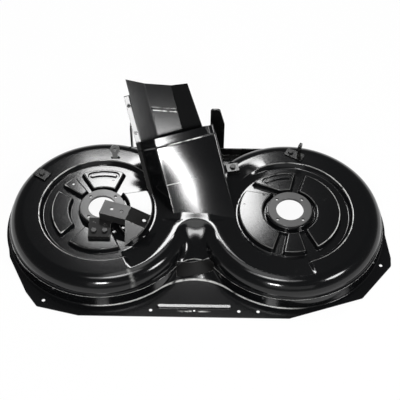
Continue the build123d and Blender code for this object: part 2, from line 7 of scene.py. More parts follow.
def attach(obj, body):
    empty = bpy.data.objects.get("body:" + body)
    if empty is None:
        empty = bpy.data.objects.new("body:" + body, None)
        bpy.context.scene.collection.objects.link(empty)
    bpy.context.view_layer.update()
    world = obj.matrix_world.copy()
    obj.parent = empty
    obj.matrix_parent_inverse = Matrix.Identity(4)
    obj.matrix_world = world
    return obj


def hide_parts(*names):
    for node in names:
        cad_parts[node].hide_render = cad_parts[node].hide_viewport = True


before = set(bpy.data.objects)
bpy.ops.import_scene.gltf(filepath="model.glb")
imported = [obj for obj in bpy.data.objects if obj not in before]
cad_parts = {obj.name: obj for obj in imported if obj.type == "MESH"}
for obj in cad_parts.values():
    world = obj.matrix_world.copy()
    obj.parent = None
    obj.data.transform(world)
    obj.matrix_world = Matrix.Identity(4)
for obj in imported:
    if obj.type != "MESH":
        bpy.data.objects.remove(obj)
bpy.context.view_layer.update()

# Sizes of the pressing in millimetres and degrees, most of them as in the part's source
SHEET = 2.5
HALF = 252.5
BASE_R, RIM_R, WALL_R, SHOULDER_R = 260.0, 255.5, 251.0, 39.0
RIM_Z, LEDGE_Z, DECK_Z = 35.0, 40.0, 80.0
VALLEY_FOOT, VALLEY_HEAD, VALLEY_BOW = 178.0, 28.0, 1.5
BAND_R, CHANNEL_SLOPE, CHANNEL_Z = 170.0, 9.0, 67.0
PAD_IN, MOAT_R, PAD_OUT, PAD_Z, PAD_CORNER, PAD_DRAFT = 69.0, 86.0, 140.0, 81.0, 9.0, 20.0
BOSS_R, SEAT_Z, BORE_R, BOLT_CIRCLE, BOLT_R = 63.5, 84.0, 37.0, 48.0, 4.5
BOLT_ANGLES = (45, 135, 225, 315)
PAD_HOLE_R = 3.5
REAR_BEAD_R, REAR_BEAD_TURN, REAR_BEAD_HALF, REAR_ISLAND_HALF, REAR_BEAD_Z = 118.0, 31.0, 12.0, 5.5, 77.0
# Each chamber: spindle, pads, holes in the pads by angle and distance, and angle of the rear bead
# Each pad: first and last angle of its outer side, then of its inner side, and its inner radius
CHAMBERS = (
    (-HALF, ((66, 119, 62, 116, PAD_IN), (126, 146, 124, 146, PAD_IN), (153, 222, 155, 218, MOAT_R),
             (232, 294, 232, 292, PAD_IN), (306, 390, 306, 412, PAD_IN)), ((136, 118), (76, 98)), 92.0),
    (HALF, ((80, 137, 84, 110, PAD_IN), (148, 251, 122, 250, PAD_IN), (260, 288, 262, 292, PAD_IN),
            (299, 431, 302, 431, PAD_IN)), ((142, 88), (171, 124)), 105.0),
)
# Flange: each corner is an angle round a spindle and a distance beyond the base
FLANGE_FRONT, FLANGE_REAR, LIP, STRIP_HALF, FLANGE_CORNER = -290.0, 262.0, 5.85, 190.0, 10.0
LEFT_CORNERS = ((187, 4.5), (204, 10.5), (229, 32), (239, 48))
RIGHT_CORNERS = ((310, 33), (336, 38), (341, 30), (358, 4.5))
FRONT_LEFT, FRONT_RIGHT = -300.5, 246.5
HOLE_LINE, HOLES_X, HOLE_R, BEAD_HOLE_R = -271.0, (-113.0, 116.0, 166.0), 4.5, 3.2
LEFT_HOLE, RIGHT_HOLE = (240, 284.0), (334, 272.5)
BEAD_REACH, BEAD_HALF, BEAD_LINE, BEAD_Z, BEAD_LEAN = 97.0, 6.5, -259.0, 6.5, 0.055
WING_X, WING_REACH, WING_HALF, WING_LINE, WING_Z = 25.0, 20.0, 2.2, -274.0, 4.4

# Funnel, the side of each chamber that faces the valley: radius of its crest by angle, and where it fades
FUNNEL_R, CREST_SHARP, CREST_SOFT, SOFT_FROM, SOFT_RUN = 143.0, 2.5, 20.0, -58.0, 28.0
CREST_TURN, CREST_R = (8.9, 9.7, 12.5, 15.5, 17.8), (229.0, 224.7, 217.0, 212.9, 211.9)
FUNNEL_SPAN = {-HALF: (-67.0, 3.0, 70.0, 32.0), HALF: (-108.0, 3.0, 70.0, 32.0)}
# Radii at which the plates are divided, so that they can follow the funnel
CHANNEL_RINGS = (FUNNEL_R, 147.0, 152.0, 157.0)
BAND_RINGS = (177.0, 183.0, 190.0, 197.0, 203.0, 206.0, 208.0, 210.0)
# Swelling on the valley's ramp, sag of the neck above it, and points that let the neck's plate bend
SWELL_Y, SWELL_Z, SWELL_GRADE, SWELL_HALF, SWELL_ROUND = -67.0, 71.4, 0.40, (36.0, 22.0), (760.0, 700.0)
SWELL_FROM, SWELL_RUN = 48.0, 8.0
NECK_SAG, NECK_HALF, NECK_SPAN, NECK_FROM, NECK_RUN = 0.5, 24.0, (-110.0, 40.0, -6.0, 26.0), 45.0, 20.0
NECK_X, NECK_Y, NECK_PITCH, NECK_NEAR, NECK_CLEAR = (-54, 55), (-46, 26), 3.0, 80.0, 1.5
# Painted highlights, pale lines from 0 to 1, then where they set in and over what run, and the one along the
# seam on the left chamber
FOOT_HIGHLIGHT, RIM_HIGHLIGHT, SEAM_HIGHLIGHT, BEAD_HIGHLIGHT, MOST_HIGHLIGHT = 0.7, 0.8, 0.3, 0.3, 0.9
SLOPE_HIGHLIGHT, PAD_HIGHLIGHT, PAD_HIGHLIGHT_R, PAD_FADE, SIDE_TURN, SIDE_FADE = 0.25, 0.12, 120.0, 10.0, 110.0, 40.0
FRONT_REACH, FRONT_FADE, WING_HIGHLIGHT, WING_FADE, WING_RISE = 300.0, 80.0, 46.0, 30.0, 1.5
SEAM_TURN, SEAM_HALF, SEAM_Z, SEAM_RISE = -67.5, 0.7, 44.0, 6.0

# Frame of the duct: across it, along it and down from its cover
RISE, SKEW = np.radians(45.0), np.radians(15.0)
ALONG = np.array((-np.sin(SKEW), np.cos(SKEW) * np.cos(RISE), np.cos(SKEW) * np.sin(RISE)))
ACROSS = np.array((np.cos(SKEW), np.sin(SKEW) * np.cos(RISE), np.sin(SKEW) * np.sin(RISE)))
DOWN = np.cross(ALONG, ACROSS)
DUCT_FOOT = np.array((20.5, -5.0, DECK_Z))
DUCT_MOUTH = np.array(((-78, 3), (70, 3), (49, 46), (-4, 81), (-73, 81), (-118, 57), (-120, 55)), float)
MOUTH_CLEAR, MOUTH_FROM = 0.98, -40.0
# Covers: their section, and how far the lower one runs up under the upper one
COVER_PATH, COVER_BEND = ((81, 12), (81, 0), (-81, 0), (-123, 55), (-135, 55)), 4.0
COVER_SHEET, COVER_HALF, COVER_UNDER, FLANGE_FROM = 2.0, 81.0, 107.0, -119.0
CROWN, CROWN_FALL, CROWN_HALF, TWIST, TWIST_FROM, TWIST_RUN = 5.0, 100.0, 77.0, 0.05, 60.0, 150.0
UPPER_ROWS = (91, 92.4, 93.4, 100, 115, 130, 145, 160, 175, 188,
              194, 194.8, 195.6, 196.4, 197.2, 198, 204, 212, 219, 220.0)
LAP_END, JOGGLE_AT, JOGGLE_RUN, JOGGLE_LINE, JOGGLE_HALF = 93.0, 194.0, 4.0, 1.6, 1.0
LAP_HIGHLIGHT, JOGGLE_HIGHLIGHT = (-80, 8, 10, 60), (-55, 20, 50, 15)
# Bead across the duct's floor with its painted highlight lines, a pale strip on its flange that paints a
# reflection, and a pale rod on the valley's patch that paints a highlight
FLOOR_LEFT, FLOOR_RIGHT, FLOOR_DEPTH = -72.0, -5.0, 82.0
FLOOR_BEAD_AT, FLOOR_BEAD_SLANT, FLOOR_BEAD_SHEET = 288.0, 0.33, 0.25
FLOOR_LINES, LINE_FADE = ((-4.8, 2.6, 1.0), (5.4, 1.6, 0.6)), 0.8
REFLECTION_ALONG, REFLECTION_ACROSS, REFLECTION_DEPTH, REFLECTION_SHEET = (222, 348), (-122.5, -134.5), 56.7, 0.2
REFLECTION_HOLES, REFLECTION_HOLES_ACROSS, REFLECTION_HOLE_R = (322.0, 246.0), -128.0, 5.0
ROD_X, ROD_Y, ROD_SLANT, ROD_R, ROD_LIFT = (-51.0, 47.0), -137.2, 0.132, 1.5, 1.6
ROD_DIPS = (VALLEY_FOOT, 130.2, 122.5)

VALLEY_STEPS, CIRCLE_STEPS, SKIRT_ROWS, NUDGE, TOP_FROM, LEAST_CLIMB = 16, 200, 4, 0.05, 60.0, 0.01

# Colours
BLACK = (0.0037, 0.0039, 0.0043, 1)
DUST = (0.045, 0.044, 0.042, 1)
# Pale colour of the painted highlights along edges and lines
HIGHLIGHT_PALE = (0.70, 0.70, 0.68, 1)

# Stage in metres; each lamp: name, place, aim, width, depth, watts and, where it isn't a rectangle, shape
FLOOR_REACH, FLOOR_Z, FLOOR_WHITE = 30.0, -0.0003, 0.95
ROOM = ((0.0, 1.0), (0.03, 0.40), (0.08, 0.30), (0.26, 0.12), (1.0, 0.06))
LAMPS = (
    ("rear_softbox", (-0.15, 1.84, 2.34), (-0.05, 0.0, 0.08), 0.95, 0.42, 34.0),
    ("front_softbox", (-0.30, -2.10, 1.97), (-0.05, 0.06, 0.15), 0.42, 0.36, 32.0),
    ("front_panel", (0.30, -2.70, 1.55), (0.0, 0.0, 0.10), 2.6, 1.1, 4.5),
    ("top_softbox", (-0.02, -0.38, 2.55), (-0.02, -0.10, 0.07), 0.70, 0.40, 9.0, "ELLIPSE"),
    ("top_glow", (-0.02, -0.38, 2.60), (-0.02, -0.10, 0.07), 1.40, 0.80, 9.0, "ELLIPSE"),
    ("right_softbox", (1.86, -0.98, 1.98), (0.37, -0.20, 0.07), 0.8, 0.55, 28.0, "ELLIPSE"),
    ("overhead_panel", (0.0, 0.64, 2.59), (0.0, -0.03, 0.08), 0.8, 1.1, 5.5),
)
# Camera: azimuth, elevation and roll in degrees, then what it looks at, and its focus and shift in pixels
CAMERA_TURN, CAMERA_AIM, CAMERA_REACH = (0.772, 52.276, 0.235), (0.0, 0.0, 0.08929), 2.8504
SENSOR, PICTURE, FOCUS, SHIFT = 36.0, 400, 1060.45, (4.03, 7.58)


# ---- lines and loops

def rounded_line(corners, radii, steps):
    """Line through corners, each inner one replaced by an arc that touches both sides.

    The arc starts radius * tan(half the turn) before its corner and turns about the point one radius to the
    inner side. Returns the points and the unit direction of travel at each.
    """
    corners = np.asarray(corners, float)
    runs = np.diff(corners, axis=0)
    runs /= np.linalg.norm(runs, axis=1)[:, None]
    points, ways = [corners[:1]], [runs[:1]]
    for corner, radius, count, before, after in zip(corners[1:-1], radii, steps, runs[:-1], runs[1:]):
        turn = np.arctan2(before[0] * after[1] - before[1] * after[0], before @ after)
        start = corner - before * radius * np.tan(abs(turn) / 2)
        centre = start + np.sign(turn) * radius * np.array((-before[1], before[0]))
        swing = np.linspace(0, turn, count + 1)
        spin = np.stack([np.cos(swing), -np.sin(swing), np.sin(swing), np.cos(swing)], 1).reshape(-1, 2, 2)
        points.append(centre + spin @ (start - centre))
        ways.append(spin @ before)
    line = np.vstack(points + [corners[-1:]])
    way = np.vstack(ways + [runs[-1:]])
    fresh = np.append(True, np.linalg.norm(np.diff(line, axis=0), axis=1) > 1e-4)
    return line[fresh], way[fresh]


def step_profile(before, run, after, levels, radii, steps):
    """Profile of a change of level: a level part, a rounded slope of a given run and a level part again."""
    first, last = levels
    return rounded_line([(-before, first), (0, first), (run, last), (run + after, last)], radii, steps)


def dense_line(line, count):
    """Line with points added at even distances along it, besides its own."""
    length = np.append(0, np.cumsum(np.linalg.norm(np.diff(line, axis=0), axis=1)))
    places = np.union1d(length, np.linspace(0, length[-1], count))
    return np.stack([np.interp(places, length, axis) for axis in line.T], 1)


def rounded_loop(corners, radius, steps=5):
    """Closed outline through corners with every corner rounded by the same radius."""
    middle = (np.asarray(corners[0], float) + corners[-1]) / 2
    line, _ = rounded_line([middle, *corners, middle], [radius] * len(corners), [steps] * len(corners))
    return line[:-1]


def polar(x, angle, radius):
    """Points at angles in degrees and radii round the spindle axis at x."""
    angle = np.radians(angle)
    return np.stack([x + radius * np.cos(angle), radius * np.sin(angle) + 0 * angle], -1)


def ring_loop(x, y, radius, steps):
    """Circle walked clockwise."""
    turn = -np.linspace(0, 2 * np.pi, steps, endpoint=False)
    return np.stack([x + radius * np.cos(turn), y + radius * np.sin(turn)], 1)


def bend(start, corner, stop, steps):
    """Quarter bend: the parabola through start and stop that points at corner at both ends."""
    t = np.linspace(0, 1, steps + 2)[1:-1, None]
    return (1 - t) ** 2 * start + 2 * t * (1 - t) * corner + t**2 * stop


def pad_loop(x, angles):
    """Sector between two radii, walked clockwise, with each corner replaced by a quarter bend."""
    outer_start, outer_stop, inner_start, inner_stop, inner_r = angles
    back_out, back_in = np.degrees(PAD_CORNER / PAD_OUT), np.degrees(PAD_CORNER / inner_r)
    outer_steps = int((outer_stop - outer_start) / 2.2) + 2
    inner_steps = int((inner_stop - inner_start) / 4) + 2
    outer = polar(x, np.linspace(outer_stop - back_out, outer_start + back_out, outer_steps), PAD_OUT)
    inner = polar(x, np.linspace(inner_start + back_in, inner_stop - back_in, inner_steps), inner_r)
    ends = polar(x, np.array((outer_start, inner_start, inner_stop, outer_stop), float),
                 np.array((PAD_OUT, inner_r, inner_r, PAD_OUT)))
    cut = PAD_CORNER / np.linalg.norm(ends[0] - ends[1])
    share = np.linspace(cut, 1 - cut, 12)[:, None]
    start_side = ends[0] + (ends[1] - ends[0]) * share
    stop_side = ends[2] + (ends[3] - ends[2]) * share
    return np.vstack([
        outer, bend(outer[-1], ends[0], start_side[0], 5),
        start_side, bend(start_side[-1], ends[1], inner[0], 5),
        inner, bend(inner[-1], ends[2], stop_side[0], 5),
        stop_side, bend(stop_side[-1], ends[3], outer[0], 5),
    ])


def arc_slot(x, angle, half):
    """Slot of a given half width along the rear bead's arc, with round ends, walked clockwise."""
    first, last = angle - REAR_BEAD_TURN / 2, angle + REAR_BEAD_TURN / 2
    outer = polar(x, np.linspace(last, first, 22), REAR_BEAD_R + half)
    inner = polar(x, np.linspace(first, last, 22), REAR_BEAD_R - half)
    low, high = polar(x, np.array((first, last)), REAR_BEAD_R)
    swing = np.linspace(0, 180, 9)[1:-1]
    low_cap, high_cap = low + polar(0, first - swing, half), high + polar(0, last + 180 - swing, half)
    return np.vstack([outer, low_cap, inner, high_cap])


def straight_slot(x, y, reach, half):
    """Slot along x with round ends, walked clockwise, whose ends lie at a reach from its middle."""
    cap = np.radians(np.linspace(90, -90, 13))
    end = np.stack([reach - half + half * np.cos(cap), half * np.sin(cap)], 1)
    run = np.linspace(1, -1, 24)[1:-1, None] * (reach - half, 0)
    return np.vstack([end, run - (0, half), -end, half * np.array((0, 1)) - run]) + (x, y)


def twin_loop(radius, dip):
    """Outlines of the twin chambers, one per row, walked clockwise from the front valley.

    Each outline is two circles of one radius round the spindles. In front and behind, a circle that touches
    both and passes at distance dip from the line of the spindles joins them.
    """
    radius, dip = np.asarray(radius, float)[:, None], np.asarray(dip, float)[:, None]
    sweep = valley_sweep(radius, dip)
    share = radius / (radius + sweep)
    touch_x, touch_y = HALF * (1 - share), (dip + sweep) * share
    fan = np.arctan2(touch_x, dip + sweep - touch_y) * np.linspace(0, 1, VALLEY_STEPS + 1)
    valley_x, valley_y = -sweep * np.sin(fan), sweep * np.cos(fan) - dip - sweep
    first = np.arctan2(-touch_y, HALF - touch_x)
    turn = first - np.linspace(0, 1, CIRCLE_STEPS, endpoint=False)[1:] * (2 * np.pi + 2 * first)
    x = np.hstack([valley_x, -HALF + radius * np.cos(turn), valley_x[:, ::-1]])
    y = np.hstack([valley_y, radius * np.sin(turn), -valley_y[:, ::-1]])
    return np.dstack([np.hstack([x, -x[:, -2:0:-1]]), np.hstack([y, y[:, -2:0:-1]])])


def valley_sweep(radius, dip):
    """Radius of the circle that touches both chambers and passes at distance dip from the spindles' line."""
    return (HALF**2 + dip**2 - radius**2) / (2 * (radius - dip))


def inside(loop, points):
    """Even-odd rule: a point is inside when a ray to its right crosses the loop an odd number of times."""
    x, y = points[:, 0, None], points[:, 1, None]
    ahead = np.roll(loop, -1, 0)
    spans = (loop[:, 1] > y) != (ahead[:, 1] > y)
    rise = np.where(loop[:, 1] == ahead[:, 1], 1.0, ahead[:, 1] - loop[:, 1])
    at = loop[:, 0] + (y - loop[:, 1]) * (ahead[:, 0] - loop[:, 0]) / rise
    return (spans & (x < at)).sum(1) % 2 == 1


def within(loops, holes, points):
    """True for points inside any of the loops and outside every hole."""
    held = np.any([inside(loop, points) for loop in loops], axis=0)
    return held & ~np.any([inside(hole, points) for hole in holes], axis=0)


def from_spindle(x, points):
    """Distance of plan points from the spindle axis at x."""
    return np.hypot(points[:, 0] - x, points[:, 1])


def duct_place(across, depth, along):
    """Point of the duct from its distances across, down from the cover and along."""
    return DUCT_FOOT + across[..., None] * ACROSS + depth[..., None] * DOWN + along[..., None] * ALONG


def mouth_at(height):
    """Outline of the duct's passage where it crosses a level plane."""
    across, depth = DUCT_MOUTH.T
    along = (height - DUCT_FOOT[2] - across * ACROSS[2] - depth * DOWN[2]) / ALONG[2]
    return duct_place(across, depth, along)[:, :2]


def in_duct(points):
    """True where a point lies in the duct's passage, clear of its sheets."""
    place = points - DUCT_FOOT
    section = np.stack([place @ ACROSS, place @ DOWN], 1)
    return inside(DUCT_MOUTH * MOUTH_CLEAR, section) & (place @ ALONG > MOUTH_FROM)


def smooth(t):
    """Smooth step from 0 to 1."""
    t = np.clip(t, 0, 1)
    return t * t * (3 - 2 * t)


def faded(value, low, low_run, high, high_run):
    """1 between two bounds and 0 outside them, with a smooth run inside each."""
    return smooth((value - low) / low_run) * smooth((high - value) / high_run)


def unit(vectors):
    """Vectors along the last axis brought to length one."""
    return vectors / np.linalg.norm(vectors, axis=-1)[..., None]


# ---- sheets

def grid_faces(rows, columns, closed):
    """Two triangles for each cell of a grid of corners; closed joins the last column to the first."""
    index = np.arange(rows * columns).reshape(rows, columns)
    beside = np.roll(index, -1, 1)
    if not closed:
        index, beside = index[:, :-1], beside[:, :-1]
    a, b, c, d = index[:-1], index[1:], beside[1:], beside[:-1]
    return np.concatenate([np.stack([a, b, c], -1), np.stack([a, c, d], -1)]).reshape(-1, 3)


class Sheet:
    """Patches of one pressed sheet, joined where their edges meet and then given a thickness."""

    def __init__(self):
        self.points, self.normals, self.faces, self.wear, self.count = [], [], [], [], 0

    def patch(self, points, normals, faces, wear=0.0):
        """Add corners with normals and painted highlight, and triangles that run anticlockwise seen from
        outside.
        """
        self.points.append(points)
        self.wear.append(np.broadcast_to(wear, len(points)))
        self.normals.append(normals)
        self.faces.append(faces + self.count)
        self.count += len(points)

    def grid(self, points, normals, closed=True, keep=None, wear=0.0):
        """Add a grid of rows and columns; keep chooses triangles by their middles."""
        rows, columns = points.shape[:2]
        faces = grid_faces(rows, columns, closed)
        flat = points.reshape(-1, 3)
        if keep is not None:
            faces = faces[keep(flat[faces].mean(1))]
        self.patch(flat, normals.reshape(-1, 3), faces, np.broadcast_to(wear, (rows, columns)).ravel())

    def step(self, loop, profile, wear=lambda points: 0.0):
        """Add a change of level round a loop, with a painted highlight found from its points. Returns the
        points.
        """
        points, normals = loop_band(loop, profile)
        self.grid(points, normals, wear=wear(points))
        return points

    def plate(self, outer, holes, height, rings=(), loose=(), bend_to=None):
        """Add a level plate, then bend it: the Delaunay triangles inside an outer loop and outside the holes."""
        loops = [*outer, *holes, *rings]
        points = np.vstack([*loops, np.reshape(loose, (-1, 2))])
        starts = np.cumsum([0] + [len(loop) for loop in loops])
        sides = [np.arange(len(loop)) for loop in loops]
        edges = np.vstack([
            np.stack([side, (side + 1) % len(side)], 1) + start for start, side in zip(starts, sides)
        ])
        found, _, faces, origin, _, _ = delaunay_2d_cdt(
            [Vector(p) for p in points.tolist()], edges.tolist(), [], 0, 1e-4)
        flat = np.array([tuple(p) for p in found])
        known = np.array([ids[0] if ids else -1 for ids in origin])
        flat[known >= 0] = points[known[known >= 0]]
        faces = np.array(faces)
        faces = faces[within(outer, holes, flat[faces].mean(1))]
        points = np.column_stack([flat, np.full(len(flat), height)])
        normals = np.tile((0.0, 0.0, 1.0), (len(flat), 1))
        if bend_to is not None:
            points, normals = bend_to(points, normals)
        self.patch(points, normals, faces)

    def piece(self, name, thickness):
        """Join corners that coincide, add the inner skin one thickness below, and close the free edges."""
        points, normals, faces = np.vstack(self.points), np.vstack(self.normals), np.vstack(self.faces)
        used, faces = np.unique(faces, return_inverse=True)
        points, normals, wear = points[used], normals[used], np.hstack(self.wear)[used]
        faces = faces.reshape(-1, 3)
        _, first, joint = np.unique(np.round(points / 0.02), axis=0, return_index=True, return_inverse=True)
        joint = joint.reshape(-1)
        outer, size = points[first], len(first)
        mean, highlight_mask = np.zeros_like(outer), np.zeros(2 * size)
        np.add.at(mean, joint, normals)
        np.maximum.at(highlight_mask, joint, wear)
        mean = unit(mean)
        body = np.vstack([outer, outer - mean * thickness])
        welded = joint[faces]
        whole = single_triangles(welded)
        welded, faces = welded[whole], faces[whole]
        tail, head = welded.ravel(), np.roll(welded, -1, 1).ravel()
        free = ~np.isin(tail * size + head, head * size + tail)
        tail, head = tail[free], head[free]
        rim = np.concatenate([
            np.stack([head, tail, tail + size], 1), np.stack([head, tail + size, head + size], 1)
        ])
        edge = np.cross(body[rim[:, 1]] - body[rim[:, 0]], body[rim[:, 2]] - body[rim[:, 0]])
        edge /= np.maximum(np.linalg.norm(edge, axis=1), 1e-9)[:, None]
        triangles = np.vstack([welded, welded[:, ::-1] + size, rim])
        corner_normals = np.vstack([normals[faces], -mean[welded[:, ::-1]], np.repeat(edge[:, None], 3, 1)])
        whole = single_triangles(triangles)
        return mesh_piece(name, body, triangles[whole], corner_normals[whole].reshape(-1, 3), highlight_mask)


def ridge_cap(loop):
    """Fan of triangles over a small closed loop, with level normals."""
    index = np.arange(len(loop))
    faces = np.stack([np.full(len(loop), len(loop)), np.roll(index, -1), index], 1)
    return np.vstack([loop, loop.mean(0)]), np.tile((0.0, 0.0, 1.0), (len(loop) + 1, 1)), faces


def single_triangles(triangles):
    """Places of the triangles with three different corners, each set of corners counted once."""
    ordered = np.sort(triangles, axis=1)
    _, first = np.unique(ordered, axis=0, return_index=True)
    first = np.sort(first)
    return first[(ordered[first, 0] < ordered[first, 1]) & (ordered[first, 1] < ordered[first, 2])]


def mesh_piece(name, points, triangles, corner_normals=None, wear=None):
    """Object at the origin from corners in millimetres, triangles and, if given, corner normals and a painted
    highlight per corner.
    """
    mesh = bpy.data.meshes.new(name)
    mesh.vertices.add(len(points))
    mesh.vertices.foreach_set("co", (points * 0.001).astype(np.float32).ravel())
    mesh.loops.add(triangles.size)
    mesh.loops.foreach_set("vertex_index", triangles.astype(np.int32).ravel())
    mesh.polygons.add(len(triangles))
    mesh.polygons.foreach_set("loop_start", np.arange(0, triangles.size, 3, dtype=np.int32))
    mesh.polygons.foreach_set("use_smooth", np.ones(len(triangles), bool))
    mesh.update(calc_edges=True)
    if wear is not None:
        # Painted highlight per corner, read by the paint's attribute node
        mesh.attributes.new("wear", "FLOAT", "POINT").data.foreach_set("value", wear.astype(np.float32))
    if corner_normals is not None:
        mesh.normals_split_custom_set(corner_normals.tolist())
    piece = bpy.data.objects.new(name, mesh)
    bpy.context.scene.collection.objects.link(piece)
    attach(piece, "root")
    return piece


def corner_highlight(steps, corner, rows):
    """Painted highlight of a profile's rows: it rises and falls along the arc of one corner and is nought
    elsewhere.
    """
    wear = np.zeros(rows)
    start = 1 + sum(steps[:corner]) + corner
    wear[start:start + steps[corner] + 1] = np.sin(np.linspace(0, np.pi, steps[corner] + 1))
    return wear


def loop_band(loop, profile):
    """Band round a clockwise loop: the profile gives the distance inwards and the height of each row."""
    line, way = profile
    ahead = unit(np.roll(loop, -1, 0) - np.roll(loop, 1, 0))
    inward = np.stack([ahead[:, 1], -ahead[:, 0]], 1)
    plan = loop + inward * line[:, 0, None, None]
    points = np.dstack([plan, np.broadcast_to(line[:, 1, None], plan.shape[:2])])
    lean = -inward * way[:, 1, None, None]
    normals = np.dstack([lean, np.broadcast_to(way[:, 0, None], plan.shape[:2])])
    return points, normals


def open_sheet(name, points, thickness, **choice):
    """Piece from one open grid, whose normals come from the differences between its rows and columns."""
    normals = unit(np.cross(np.gradient(points, axis=0), np.gradient(points, axis=1)))
    sheet = Sheet()
    sheet.grid(points, normals, closed=False, **choice)
    return sheet.piece(name, thickness)


# ---- the pressing

def wall_grid(radius, height):
    """Outer wall: twin outlines from the flange to the band, whose valley recedes with height.

    The valley's ramp falls with a power of the distance from its head. A low swelling lies on it, a tilted
    cap that blends out as a bell curve, and the neck above sags.
    """
    skirt = BASE_R - (BASE_R - RIM_R) * np.minimum(height, RIM_Z) / RIM_Z
    levels = np.union1d((0, RIM_Z, LEDGE_Z), np.linspace(LEDGE_Z + 1, DECK_Z, 300))
    drop = np.interp(height, levels, (1 - levels / DECK_Z) ** (1 / VALLEY_BOW))
    dip = VALLEY_HEAD + (VALLEY_FOOT - VALLEY_HEAD) * drop + np.maximum(radius - skirt, 0)
    plan = twin_loop(radius, dip)
    x, y, rise = plan[..., 0], plan[..., 1], height[:, None]
    cap = SWELL_Z + SWELL_GRADE * (y - SWELL_Y) - x**2 / SWELL_ROUND[0] - (y - SWELL_Y) ** 2 / SWELL_ROUND[1]
    share = np.exp(-((x / SWELL_HALF[0]) ** 2) - ((y - SWELL_Y) / SWELL_HALF[1]) ** 2)
    share = share * smooth((rise - SWELL_FROM) / SWELL_RUN)
    sag = neck_sag(x, y) * smooth((rise - NECK_FROM) / NECK_RUN)
    return np.dstack([plan, rise + share * (cap - rise) - sag])


def neck_sag(x, y):
    """How far the neck between the chambers sags: a bell curve across it, none at the duct."""
    return NECK_SAG * faded(y, *NECK_SPAN) * np.exp(-((x / NECK_HALF) ** 2))


def valley_turn(x, plan):
    """Angle of plan points round the spindle at x, in degrees from the side that faces the valley."""
    return np.degrees(np.arctan2(plan[:, 1], -np.sign(x) * (plan[:, 0] - x)))


def crest_at(x, plan):
    """Radius of the funnel's crest in the direction of plan points; it runs out towards the neck."""
    return np.interp(np.abs(valley_turn(x, plan)), CREST_TURN, CREST_R)


def highlight_share(x, plan, least, inner):
    """How strong the painted highlight on a raised edge is: most on the outer side of the chamber and outside an
    inner radius.
    """
    outer = smooth((np.abs(valley_turn(x, plan)) - SIDE_TURN) / SIDE_FADE)
    outer = outer * smooth((from_spindle(x, plan) - inner) / PAD_FADE)
    return least + (MOST_HIGHLIGHT - least) * outer


def funnel_share(x, plan):
    """How far the chamber at x has turned from stepped channel to funnel: 1 where it faces the valley."""
    return faded(valley_turn(x, plan), *FUNNEL_SPAN[x])


def funnel_level(x, plan, level):
    """Height after blending with the funnel, an even rise from the pads to a round crest beside the valley."""
    reach, crest = from_spindle(x, plan), crest_at(x, plan)
    soft = CREST_SHARP + (CREST_SOFT - CREST_SHARP) * smooth((valley_turn(x, plan) - SOFT_FROM) / SOFT_RUN)
    grade = (DECK_Z - CHANNEL_Z) / (crest - FUNNEL_R - soft / 2)
    rise = grade * (np.clip(reach, FUNNEL_R, crest) - FUNNEL_R)
    rise -= grade * np.clip(reach - crest + soft, 0, soft) ** 2 / (2 * soft)
    share = funnel_share(x, plan) * ((reach > FUNNEL_R) & (reach < crest))
    return level + share * (CHANNEL_Z + rise - level)


def slopes_of(level, plan):
    """Rise of a height per millimetre of x and of y at plan points, by central differences."""
    step = 0.1
    shifts = np.array(((step, 0), (0, step)))
    return [(level(plan + shift) - level(plan - shift)) / (2 * step) for shift in shifts]


def funnel_patch(x, points, normals, level):
    """Move a patch of the chamber top onto the funnel; level gives its height before the move."""
    plan = points[:, :2]
    share, reach = funnel_share(x, plan), from_spindle(x, plan)
    moved = points.copy()
    moved[:, 2] = np.where(share > 0, funnel_level(x, plan, points[:, 2]), points[:, 2])
    rise_x, rise_y = slopes_of(lambda at: funnel_level(x, at, level(at)), plan)
    tilted = unit(np.column_stack([-rise_x, -rise_y, np.ones(len(plan))]))
    turned = (share > 0) & (reach > FUNNEL_R) & (reach < crest_at(x, plan))
    return moved, np.where(turned[:, None], tilted, normals)


def band_bend(points, normals):
    """Bend of the band on top: both funnels, and the sag of the neck between them."""
    for x in (-HALF, HALF):
        points, normals = funnel_patch(x, points, normals, lambda plan: DECK_Z)
    rise_x, rise_y = slopes_of(lambda at: neck_sag(*at.T), points[:, :2])
    normals = normals + np.column_stack([rise_x, rise_y, 0 * rise_x])
    return points - np.outer(neck_sag(*points[:, :2].T), (0, 0, 1)), unit(normals)


def lean_back(points, normals):
    """Tilt of the front bead's top: its height falls evenly towards the rear."""
    tilt = np.tile((0.0, BEAD_LEAN, 1.0), (len(points), 1))
    return points - np.outer(BEAD_LEAN * (points[:, 1] - BEAD_LINE), (0, 0, 1)), tilt / np.hypot(1, BEAD_LEAN)


